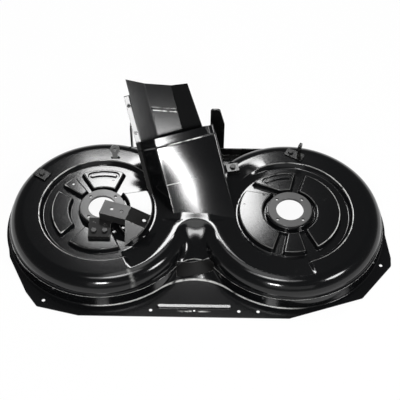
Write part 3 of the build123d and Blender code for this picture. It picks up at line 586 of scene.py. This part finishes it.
def deck_wall(deck):
    """Add the wall: skirt, rim, ledge and shoulder as one rounded profile carried round the twin outlines.

    Its normals are the cross product of the steps along the profile and along the outline. Returns the grid.
    """
    foot_r = BASE_R - (BASE_R - RIM_R) * SHEET / RIM_Z
    bends = [5, 3, 3, 14]
    line, way = rounded_line(
        [(foot_r + 4, SHEET), (foot_r, SHEET), (RIM_R, RIM_Z), (WALL_R, LEDGE_Z), (WALL_R, DECK_Z),
         (WALL_R - SHOULDER_R, DECK_Z)],
        [3.5, 1.6, 1.6, SHOULDER_R], bends,
    )
    wear = [corner_highlight(bends, corner, len(line)) for corner in (0, 1)]
    low, high = 1 + bends[0], 2 + bends[0]
    skirt = line[low] + (line[high] - line[low]) * np.linspace(0, 1, SKIRT_ROWS + 2)[1:-1, None]
    line = np.insert(line, high, skirt, axis=0)
    way = np.insert(way, high, np.repeat(way[low:high], SKIRT_ROWS, 0), axis=0)
    foot_wear, rim_wear = (np.insert(rows, high, np.zeros(SKIRT_ROWS))[:, None] for rows in wear)
    radius, height = line.T
    # On the level top the step still climbs a little, because the valley recedes only with height
    climb = np.maximum(way[:, 1], np.where(height > TOP_FROM, LEAST_CLIMB, 0.0))
    out, up = NUDGE * way[:, 0], NUDGE * climb
    wall = wall_grid(radius, height)
    rows = wall_grid(radius + out, height + up) - wall_grid(radius - out, height - up)
    normals = unit(np.cross(rows, np.roll(wall, -1, 1) - np.roll(wall, 1, 1)))
    x, y, z = np.moveaxis(wall, 2, 0)
    front = smooth((FRONT_REACH - np.abs(x)) / FRONT_FADE) * (y < 0)
    turn = valley_turn(-HALF, wall.reshape(-1, 3)[:, :2]).reshape(x.shape)
    seam = np.exp(-(((turn - SEAM_TURN) / SEAM_HALF) ** 2)) * (x < 0) * smooth((z - SEAM_Z) / SEAM_RISE)
    # Painted highlights: pale lines along the foot in front, along the rim's ledge, and along the seam on the
    # left chamber's shoulder
    highlight_mask = np.maximum(FOOT_HIGHLIGHT * foot_wear * front + RIM_HIGHLIGHT * rim_wear, SEAM_HIGHLIGHT * seam)
    deck.grid(wall, normals, keep=lambda middle: ~in_duct(middle), wear=highlight_mask)
    return wall


def deck_flange(deck, foot):
    """Add the flange round the wall's foot: a level plate with holes, a straight bead and two small wings."""
    bead_profile = step_profile(1.4, 1.6, 1.6, (SHEET, BEAD_Z), [1.2, 1.6], [3, 4])
    wing_profile = step_profile(0.5, 0.8, 0.5, (SHEET, WING_Z), [0.4, 0.6], [2, 3])
    bead, tilt = loop_band(straight_slot(0.0, BEAD_LINE, BEAD_REACH, BEAD_HALF), bead_profile)
    lean = np.clip((bead[..., 2:] - SHEET) / (BEAD_Z - SHEET), 0, 1) * BEAD_LEAN
    bead[..., 2] -= lean[..., 0] * (bead[..., 1] - BEAD_LINE)
    deck.grid(bead, unit(tilt + lean * (0, 1, 0)))

    # Painted highlight on the wings' tops, fading out away from the middle
    def highlight_mask(points):
        across, height = np.abs(points[..., 0]), points[..., 2] - SHEET
        return smooth((WING_HIGHLIGHT - across) / WING_FADE) * smooth(height / WING_RISE)

    wings = [deck.step(straight_slot(x, WING_LINE, WING_REACH, WING_HALF), wing_profile, highlight_mask)
             for x in (-WING_X, WING_X)]
    deck.plate([bead[-1, :, :2]], [], BEAD_Z, bend_to=lean_back)
    for wing in wings:
        deck.patch(*ridge_cap(wing[-1]))
    corners = [polar(-HALF, angle, BASE_R + reach) for angle, reach in LEFT_CORNERS]
    corners += [np.array((x, FLANGE_FRONT)) for x in (FRONT_LEFT, FRONT_RIGHT)]
    corners += [polar(HALF, angle, BASE_R + reach) for angle, reach in RIGHT_CORNERS]
    apron = rounded_loop(corners, FLANGE_CORNER)
    lip = twin_loop([BASE_R + LIP], [VALLEY_FOOT])[0]
    strip = np.array([(-STRIP_HALF, 0), (-STRIP_HALF, FLANGE_REAR), (STRIP_HALF, FLANGE_REAR), (STRIP_HALF, 0)])
    holes = [ring_loop(x, HOLE_LINE, HOLE_R, 24) for x in HOLES_X]
    holes += [ring_loop(0.0, HOLE_LINE, BEAD_HOLE_R, 20)]
    holes += [ring_loop(*polar(x, *hole), HOLE_R, 24) for x, hole in ((-HALF, LEFT_HOLE), (HALF, RIGHT_HOLE))]
    holes += [points[0, :, :2] for points in (bead, *wings)]
    deck.plate([apron, lip, strip], [foot, *holes], SHEET)


def chamber_top(deck, x, pads, pad_holes, bead_angle):
    """Add one chamber's top inside the band: slope, channel, pads, rear bead and spindle seat.

    Every level part is a plate between loops, and every change of level is a rounded profile carried round a
    loop. The side that faces the valley is bent to the funnel. Returns the outer loop.
    """
    slope_profile = step_profile(2.4, CHANNEL_SLOPE, 2.4, (DECK_Z, CHANNEL_Z), [4.0, 4.0], [5, 5])
    boss_profile = step_profile(2.2, 0.8, 3.2, (CHANNEL_Z, SEAT_Z), [2.0, 2.5], [4, 5])
    run = (PAD_Z - CHANNEL_Z) * np.tan(np.radians(PAD_DRAFT))
    pad_profile = step_profile(1.5, run, 2.6, (CHANNEL_Z, PAD_Z), [2.0, 3.2], [4, 5])
    sink_profile = step_profile(1.0, 1.6, 1.0, (PAD_Z, REAR_BEAD_Z), [1.4, 1.2], [3, 3])
    rise_profile = step_profile(0.9, 1.6, 1.2, (REAR_BEAD_Z, PAD_Z), [1.2, 1.4], [3, 3])

    slope, tilt = loop_band(ring_loop(x, 0, BAND_R, 200), slope_profile)
    inwards, heights = slope_profile[0][::-1].T
    bent, bent_tilt = funnel_patch(x, slope.reshape(-1, 3), tilt.reshape(-1, 3),
                                   lambda plan: np.interp(from_spindle(x, plan), BAND_R - inwards, heights))
    stepped = 1 - funnel_share(x, slope.reshape(-1, 3)[:, :2]).reshape(slope.shape[:2])
    # Painted highlight along the band's inner edge, only where the chamber is stepped
    highlight_mask = corner_highlight([5, 5], 0, len(slope))[:, None] * stepped * highlight_share(x, slope[0, :, :2], SLOPE_HIGHLIGHT, 0)
    deck.grid(bent.reshape(slope.shape), bent_tilt.reshape(slope.shape),
              keep=lambda middle: ~in_duct(middle), wear=highlight_mask)

    boss = deck.step(ring_loop(x, 0, BOSS_R, 120), boss_profile)
    bores = [ring_loop(x, 0, BORE_R, 96)]
    bores += [ring_loop(*polar(x, angle, BOLT_CIRCLE), BOLT_R, 20) for angle in BOLT_ANGLES]
    deck.plate([boss[-1, :, :2]], bores, SEAT_Z)

    # Painted highlight along the pads' top edges, strongest on the chamber's outer side
    def pad_highlight(points):
        share = highlight_share(x, points[-1, :, :2], PAD_HIGHLIGHT, PAD_HIGHLIGHT_R)
        return corner_highlight([4, 5], 1, len(points))[:, None] * share

    walls = [deck.step(pad_loop(x, angles), pad_profile, pad_highlight) for angles in pads]
    # Painted highlight along the rear bead's rim
    sink = deck.step(arc_slot(x, bead_angle, REAR_BEAD_HALF), sink_profile,
                     lambda points: BEAD_HIGHLIGHT * corner_highlight([3, 3], 0, len(points))[:, None])
    island = deck.step(arc_slot(x, bead_angle, REAR_ISLAND_HALF), rise_profile)
    deck.plate([island[-1, :, :2]], [], PAD_Z)
    deck.plate([sink[-1, :, :2]], [island[0, :, :2]], REAR_BEAD_Z)
    small = [ring_loop(*polar(x, angle, reach), PAD_HOLE_R, 20) for angle, reach in pad_holes]
    deck.plate([wall[-1, :, :2] for wall in walls], [*small, sink[0, :, :2]], PAD_Z)

    feet = [wall[0, :, :2] for wall in walls] + [boss[0, :, :2], mouth_at(CHANNEL_Z)]
    deck.plate([slope[-1, :, :2]], feet, CHANNEL_Z, [ring_loop(x, 0, r, 160) for r in CHANNEL_RINGS],
               bend_to=lambda points, normals: funnel_patch(x, points, normals, lambda plan: CHANNEL_Z))
    return slope[0, :, :2]


def deck_band(deck, edge, rims):
    """Add the band on top, between the shoulder's edge, the rims of both chambers and the duct's mouth."""
    mouth = mouth_at(DECK_Z)
    rings = [ring_loop(x, 0, r, 200) for x in (-HALF, HALF) for r in BAND_RINGS]
    steps = [np.arange(*span, NECK_PITCH) for span in (NECK_X, NECK_Y)]
    neck = np.stack(np.meshgrid(*steps), -1).reshape(-1, 2)
    reach = np.linalg.norm(neck[:, None] - edge[np.abs(edge[:, 0]) < NECK_NEAR], axis=2).min(1)
    neck = neck[within([edge], [mouth], neck) & (reach > NECK_CLEAR)]
    deck.plate([edge], [*rims, mouth], DECK_Z, rings, neck, band_bend)


def deck_pressing():
    """The pressing as one sheet, whose patches meet edge to edge and share their tangents."""
    deck = Sheet()
    wall = deck_wall(deck)
    deck_flange(deck, wall[0, :, :2])
    rims = [chamber_top(deck, *chamber) for chamber in CHAMBERS]
    deck_band(deck, wall[-1, :, :2], rims)
    return deck.piece("deck_pressing", SHEET)


def deck_level(plan):
    """Height of the nearer chamber under plan points: channel floor, slope or band, blended with the funnel."""
    levels = []
    for x in (-HALF, HALF):
        rise = (DECK_Z - CHANNEL_Z) * (from_spindle(x, plan) - BAND_R + CHANNEL_SLOPE) / CHANNEL_SLOPE
        levels.append(funnel_level(x, plan, np.clip(CHANNEL_Z + rise, CHANNEL_Z, DECK_Z)))
    return np.where(plan[:, 0] < 0, *levels)


# ---- the duct and small pieces

def cover_section():
    """Cover's section across the duct, with folds at both sides, as distances across and down."""
    line, _ = rounded_line(COVER_PATH, [COVER_BEND] * 3, [5, 5, 5])
    return dense_line(line, 110).T


def cover_crown(across, depth, along):
    """Depth with the sheet's spring: a parabola between the folds, fuller near the foot, and a twist."""
    crown = (CROWN - along / CROWN_FALL) * np.clip(1 - (across / CROWN_HALF) ** 2, 0, None)
    twist = TWIST * smooth((along - TWIST_FROM) / TWIST_RUN) * np.clip(across, -COVER_HALF, COVER_HALF)
    return depth - np.where(depth < 0.01, crown, 0) + twist


def lower_cover():
    """Lower cover: its section drawn out along the duct from the line where it stands on the deck.

    That line is found by moving each point of it halfway to the deck, again and again.
    """
    across, depth = cover_section()
    start = np.zeros_like(across)
    for _ in range(60):
        sprung = cover_crown(across, depth, start)
        level = deck_level(duct_place(across, sprung, start)[:, :2])
        start = start / 2 + (level - DUCT_FOOT[2] - across * ACROSS[2] - sprung * DOWN[2]) / ALONG[2] / 2
    share = np.linspace(0, 1, 14)[:, None]
    along = np.minimum(start, COVER_UNDER - 1) * (1 - share) + COVER_UNDER * share
    points = duct_place(np.broadcast_to(across, along.shape), cover_crown(across, depth, along), along)
    return open_sheet("lower_cover", points, COVER_SHEET)


def upper_cover():
    """Upper cover: the section one sheet further out, stepping back in at the band along its end, with painted
    highlights along its lap and its joggle.
    """
    across, depth = cover_section()
    along = np.array(UPPER_ROWS)
    lap = (along < LAP_END)[:, None] * faded(across, *LAP_HIGHLIGHT)
    joggle = (np.abs(along - JOGGLE_AT - JOGGLE_LINE) < JOGGLE_HALF)[:, None] * faded(across, *JOGGLE_HIGHLIGHT)
    slope = unit(np.stack([np.gradient(across), np.gradient(depth)], 1))
    lift = (COVER_SHEET * (1 - smooth((along - JOGGLE_AT) / JOGGLE_RUN)))[:, None]
    along = np.broadcast_to(along[:, None], (len(along), len(across)))
    depth = cover_crown(across, depth, along) + slope[:, 0] * lift
    points = duct_place(across - slope[:, 1] * lift, depth, along)
    return open_sheet("upper_cover", points, COVER_SHEET, wear=lap + joggle)


def flange_painted_shade(piece, finish):
    """Painted shade: give the faces of a cover's side flange, beyond its cheek, the darker, duller finish passed
    in.
    """
    polygons = piece.data.polygons
    middles = np.empty(3 * len(polygons))
    polygons.foreach_get("center", middles)
    beyond = (middles.reshape(-1, 3) * 1000 - DUCT_FOOT) @ ACROSS < FLANGE_FROM
    piece.data.materials.append(finish)
    polygons.foreach_set("material_index", beyond.astype(np.int32))


def trough_bead():
    """Bead across the duct's floor: a rounded bar, set on a slant, that runs out at both ends, with two painted
    highlight lines along it.
    """
    line, _ = rounded_line([(-9, -0.3), (-6.6, -0.3), (-5.4, 3.4), (5.4, 3.4), (6.6, -0.3), (9, -0.3)],
                           [0.8, 1.8, 1.8, 0.8], [3, 5, 5, 3])
    line = dense_line(line, 50)
    across = np.linspace(FLOOR_RIGHT, FLOOR_LEFT, 60)
    end = smooth(np.minimum(across - FLOOR_LEFT, FLOOR_RIGHT - across) / 4)
    along = FLOOR_BEAD_AT - FLOOR_BEAD_SLANT * (across - (FLOOR_LEFT + FLOOR_RIGHT) / 2) + line[:, :1]
    points = duct_place(np.broadcast_to(across, along.shape), FLOOR_DEPTH - line[:, 1:] * end, along)
    # Two painted highlight lines along the bar
    highlight_mask = sum(share * smooth((half - np.abs(line[:, 0] - at)) / LINE_FADE) for at, half, share in FLOOR_LINES)
    return open_sheet("trough_bead", points, FLOOR_BEAD_SHEET, wear=highlight_mask[:, None] * end)


def flange_reflection_strip():
    """Painted reflection: pale strip along the free flange of the duct's floor, open at the flange's holes."""
    along, across = np.meshgrid(np.linspace(*REFLECTION_ALONG, 40), np.linspace(*REFLECTION_ACROSS, 6), indexing="ij")
    points = duct_place(across, np.full(along.shape, REFLECTION_DEPTH), along)
    holes = duct_place(np.full(2, REFLECTION_HOLES_ACROSS), np.full(2, REFLECTION_DEPTH), np.array(REFLECTION_HOLES))
    return open_sheet("flange_reflection_strip", points, REFLECTION_SHEET,
                      keep=lambda middle: np.linalg.norm(middle[:, None] - holes, axis=2).min(1) > REFLECTION_HOLE_R)


def patch_highlight_rod():
    """Painted highlight along the upper edge of the valley's patch: a thin round rod laid on the slope, painted
    pale.

    Its line is straight in plan, and its height is that at which the valley's circle meets that line.
    """
    x = np.linspace(*ROD_X, 70)
    y = ROD_Y + ROD_SLANT * x
    height = np.linspace(0, LEDGE_Z, 60)
    dip = np.interp(height, (0, RIM_Z, LEDGE_Z), ROD_DIPS)
    sweep = valley_sweep(np.interp(height, (0, RIM_Z, LEDGE_Z), (BASE_R, RIM_R, WALL_R)), dip)
    front = np.sqrt(np.maximum(sweep[:, None] ** 2 - x**2, 0)) - (dip + sweep)[:, None]
    z = np.array([np.interp(at, row, height) for at, row in zip(y, front.T)]) + ROD_LIFT
    turn = -np.linspace(0, 2 * np.pi, 9)[:-1]
    thick = ROD_R * np.sqrt(np.clip(1 - np.linspace(-1, 1, 70) ** 8, 0.01, 1))[:, None]
    x, y, z = x[:, None], y[:, None], z[:, None]
    points = np.stack([x + 0 * turn, y - thick * np.sin(turn), z + thick * np.cos(turn)], -1)
    rows, columns = points.shape[:2]
    fan = np.arange(1, columns - 1)
    first = np.stack([0 * fan, fan, fan + 1], 1)
    faces = np.vstack([grid_faces(rows, columns, True), first, first[:, ::-1] + (rows - 1) * columns])
    return mesh_piece("patch_highlight_rod", points.reshape(-1, 3), faces)


# ---- finishes

class Wire:
    """One output socket of a node; arithmetic on it adds Math nodes."""

    def __init__(self, finish, socket):
        self.finish, self.socket = finish, socket

    def math(self, operation, *values):
        return self.finish.node("ShaderNodeMath", {"operation": operation}, dict(enumerate(values)))

    def __add__(self, other):
        return self.math("ADD", self, other)

    __radd__ = __add__

    def __rsub__(self, other):
        return self.math("SUBTRACT", other, self)

    def __mul__(self, other):
        return self.math("MULTIPLY", self, other)

    __rmul__ = __mul__

    def above(self, low, high):
        """Smooth step from 0 at low to 1 at high."""
        return self.finish.node("ShaderNodeMapRange", {"interpolation_type": "SMOOTHSTEP"},
                                {"Value": self, "From Min": low, "From Max": high})


class Finish:
    """A material under construction."""

    def __init__(self, name):
        self.material = bpy.data.materials.new(name)
        self.material.use_nodes = True
        self.tree = self.material.node_tree
        self.shader = self.tree.nodes["Principled BSDF"]
        self.place = self.node("ShaderNodeTexCoord", {}, {}, "Object")

    def fill(self, node, sockets):
        """Set sockets of a node to values, or link them to wires."""
        for key, value in sockets.items():
            if isinstance(value, Wire):
                self.tree.links.new(value.socket, node.inputs[key])
            else:
                node.inputs[key].default_value = value

    def node(self, kind, settings, sockets, output=0):
        """Add a node: settings first, then its sockets; returns one of its outputs."""
        node = self.tree.nodes.new(kind)
        for key, value in settings.items():
            setattr(node, key, value)
        self.fill(node, sockets)
        return Wire(self, node.outputs[output])

    def noise(self, scale, detail=2.0, roughness=0.5):
        sockets = {"Vector": self.place, "Scale": scale, "Detail": detail, "Roughness": roughness}
        return self.node("ShaderNodeTexNoise", {}, sockets, "Fac")

    def mix(self, factor, first, second):
        """Blend of two colours."""
        return self.node("ShaderNodeMix", {"data_type": "RGBA"}, {0: factor, 6: first, 7: second}, 2)

    def bump(self, height, strength, distance, **sockets):
        return self.node("ShaderNodeBump", {},
                         {"Height": height, "Strength": strength, "Distance": distance, **sockets})

    def set(self, **sockets):
        """Set or link sockets of the shader, named in words joined by underscores."""
        self.fill(self.shader, {key.replace("_", " "): value for key, value in sockets.items()})
        return self.material


def gloss_paint(name, rough, gloss=0.5):
    """Baked black paint on the pressing: deep gloss, faint orange peel, a breath of dust and a few scuffs, with
    pale painted highlights where the mesh asks for them.
    """
    paint = Finish(name)
    cloud = paint.noise(7.0, 3.0)
    peel = paint.noise(420.0)
    speck = paint.noise(900.0, 1.0).above(0.70, 0.78)
    scuff = paint.noise(60.0, 6.0, 0.7).above(0.60, 0.75) * cloud.above(0.45, 0.65)
    dust = speck * 0.35 + scuff * 0.06
    # Painted highlight: pale lines where the mesh's attribute is set
    wear = paint.node("ShaderNodeAttribute", {"attribute_name": "wear"}, {}, "Fac")
    lit_line = wear * paint.noise(45.0, 4.0, 0.65).above(0.30, 0.52)
    colour = paint.mix(lit_line, paint.mix(dust, BLACK, DUST), HIGHLIGHT_PALE)
    return paint.set(Base_Color=colour, Roughness=rough + 0.04 * cloud + 0.12 * scuff + 0.15 * lit_line, IOR=1.45,
                     Specular_IOR_Level=gloss, Normal=paint.bump(peel, 0.045, 0.0006))


def bracket_paint(name, rough, painted_light=1.0, edge=0.6, gloss=0.5):
    """Thicker dipped paint on plates, uneven, with pale painted highlights along edges; painted_light raises its
    black to paint in the light and sheen the part catches.
    """
    paint = Finish(name)
    # Painted light: the black is raised or lowered for the light, sheen or shade the part shows
    lit_black = (painted_light * BLACK[1],) * 3 + (1,)
    cloud = paint.noise(18.0, 4.0)
    peel = paint.noise(260.0, 3.0, 0.6)
    speck = paint.noise(700.0, 1.0).above(0.68, 0.78)
    soft = paint.node("ShaderNodeBevel", {"samples": 4}, {"Radius": 0.0012})
    level = paint.node("ShaderNodeNewGeometry", {}, {}, "Normal")
    facing = paint.node("ShaderNodeVectorMath", {"operation": "DOT_PRODUCT"}, {0: soft, 1: level}, "Value")
    # Painted highlight: pale edges found from the rounded normal
    lit_line = (1.0 - facing).above(0.04, 0.20) * paint.noise(70.0, 3.0).above(0.40, 0.60) * edge
    colour = paint.mix(lit_line, paint.mix(speck * 0.3 + cloud * 0.08, lit_black, DUST), HIGHLIGHT_PALE)
    return paint.set(Base_Color=colour, Roughness=rough + 0.12 * cloud, IOR=1.45, Specular_IOR_Level=gloss,
                     Normal=paint.bump(peel, 0.10, 0.0008, Normal=soft))


# ---- stage

def softbox(name, place, aim, width, depth, watts, shape="RECTANGLE"):
    """Lamp of a given shape and size at a place in metres, facing aim."""
    lamp = bpy.data.lights.new(name, "AREA")
    lamp.shape, lamp.size, lamp.size_y, lamp.energy = shape, width, depth, watts
    holder = bpy.data.objects.new(name, lamp)
    way = Vector(aim) - Vector(place)
    holder.matrix_world = Matrix.Translation(place) @ way.to_track_quat("-Z", "Y").to_matrix().to_4x4()
    bpy.context.scene.collection.objects.link(holder)


def studio_floor():
    """Wide white floor: mostly its own white, with a share of plain lit surface that keeps a soft shadow."""
    mesh = bpy.data.meshes.new("studio_floor")
    corners = [(x * FLOOR_REACH, y * FLOOR_REACH, FLOOR_Z) for x, y in ((-1, -1), (1, -1), (1, 1), (-1, 1))]
    mesh.from_pydata(corners, [], [(0, 1, 2, 3)])
    floor = bpy.data.objects.new("studio_floor", mesh)
    bpy.context.scene.collection.objects.link(floor)
    paper = Finish("white_paper")
    paper.tree.nodes.remove(paper.shader)
    camera = paper.node("ShaderNodeLightPath", {}, {}, "Is Camera Ray")
    path = camera.socket.node
    glossy, through = (Wire(paper, path.outputs[f"Is {kind} Ray"]) for kind in ("Glossy", "Transmission"))
    share = camera.math("MINIMUM", camera + glossy + through, 1.0) * FLOOR_WHITE
    colour = paper.mix(paper.noise(30.0, 3.0), (0.80, 0.80, 0.80, 1), (0.82, 0.82, 0.82, 1))
    lit = paper.node("ShaderNodeBsdfDiffuse", {}, {"Color": colour})
    glow = paper.node("ShaderNodeEmission", {}, {"Color": (1, 1, 1, 1), "Strength": 1.0})
    mixed = paper.node("ShaderNodeMixShader", {}, {0: share, 1: lit, 2: glow})
    paper.tree.links.new(mixed.socket, paper.tree.nodes["Material Output"].inputs["Surface"])
    mesh.materials.append(paper.material)


def studio_world():
    """Room round the stage: white at the horizon, grey just above it and dim overhead."""
    world = bpy.data.worlds.new("room")
    bpy.context.scene.world = world
    world.use_nodes = True
    tree = world.node_tree
    kinds = ("TexCoord", "SeparateXYZ", "ValToRGB")
    place, split, ramp = (tree.nodes.new(f"ShaderNode{kind}") for kind in kinds)
    tree.links.new(place.outputs["Generated"], split.inputs[0])
    tree.links.new(split.outputs["Z"], ramp.inputs[0])
    tree.links.new(ramp.outputs[0], tree.nodes["Background"].inputs["Color"])
    while len(ramp.color_ramp.elements) < len(ROOM):
        ramp.color_ramp.elements.new(0.5)
    for element, (at, level) in zip(ramp.color_ramp.elements, ROOM):
        element.position, element.color = at, (level, level, level, 1)


def photo_camera():
    """Camera at the photograph's place: 52 degrees up, from the front, with its slight roll and framing."""
    azimuth, elevation, roll = np.radians(CAMERA_TURN)
    level = np.cos(elevation)
    back = np.array((np.sin(azimuth) * level, -np.cos(azimuth) * level, np.sin(elevation)))
    right = np.array((np.cos(azimuth), np.sin(azimuth), 0.0))
    up = np.cross(back, right)
    right, up = right * np.cos(roll) + up * np.sin(roll), up * np.cos(roll) - right * np.sin(roll)
    place = np.array(CAMERA_AIM) + CAMERA_REACH * back
    camera = bpy.data.cameras.new("photo_camera")
    camera.sensor_width, camera.lens = SENSOR, SENSOR * FOCUS / PICTURE
    camera.shift_x, camera.shift_y = SHIFT[0] / PICTURE, SHIFT[1] / PICTURE
    camera.clip_end = 100.0
    holder = bpy.data.objects.new("photo_camera", camera)
    rows = [[*row, at] for row, at in zip(np.stack([right, up, back], 1), place)]
    holder.matrix_world = Matrix(rows + [[0, 0, 0, 1]])
    bpy.context.scene.collection.objects.link(holder)
    bpy.context.scene.camera = holder


# ---- assembly

deck = deck_pressing()
low_cover = lower_cover()
high_cover = upper_cover()
for piece, node in ((deck, "deck_shell"), (low_cover, "chute_cover_lower"), (high_cover, "chute_cover_upper")):
    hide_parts(node)

bar, strip, highlight_rod = trough_bead(), flange_reflection_strip(), patch_highlight_rod()

deck_gloss = gloss_paint("gloss_paint", 0.09)
cover_gloss = gloss_paint("cover_paint", 0.12)
plates = bracket_paint("plate_paint", 0.20)
bolts = bracket_paint("bolt_paint", 0.30, edge=0.3)
# Painted light: each part's painted_light lightens or darkens its black for the light, sheen or shade that part
# shows
finish_of = {
    "left_spindle_ring": bracket_paint("left_ring_paint", 0.24, painted_light=16.0),
    "right_spindle_ring": bracket_paint("right_ring_paint", 0.34, painted_light=13.0, edge=0.2),
    "left_bridge_plate": bracket_paint("bridge_paint", 0.26, painted_light=6.0, gloss=0.35),
    "left_foot_plate": bracket_paint("foot_paint", 0.34, painted_light=2.0, gloss=0.12),
    "left_gusset": bracket_paint("gusset_paint", 0.18, painted_light=5.0, edge=0.9, gloss=0.28),
    "valley_patch": bracket_paint("patch_paint", 0.40, painted_light=0.6, edge=0.5, gloss=0.12),
    "chute_trough": gloss_paint("trough_paint", 0.12, gloss=0.24),
    "chute_right_wall": deck_gloss,
    "left_eye_lug": bracket_paint("lug_paint", 0.25, painted_light=30.0),
}
for piece in (deck, bar):
    piece.data.materials.append(deck_gloss)
# The covers' side flanges get the patch's darker, duller finish as painted shade
for piece in (low_cover, high_cover):
    piece.data.materials.append(cover_gloss)
    flange_painted_shade(piece, finish_of["valley_patch"])
# Painted reflection on the duct's flange strip and painted highlight on the patch's rod, both pale
strip.data.materials.append(bracket_paint("strip_reflection_paint", 0.40, painted_light=180.0))
highlight_rod.data.materials.append(bracket_paint("rod_highlight_paint", 0.30, painted_light=60.0))
for name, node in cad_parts.items():
    for slot in node.material_slots:
        slot.material = bolts if "bolt" in name else finish_of.get(name, plates)

studio_floor()
studio_world()
photo_camera()
for lamp in LAMPS:
    softbox(*lamp)

bpy.context.scene.view_settings.view_transform = "Standard"
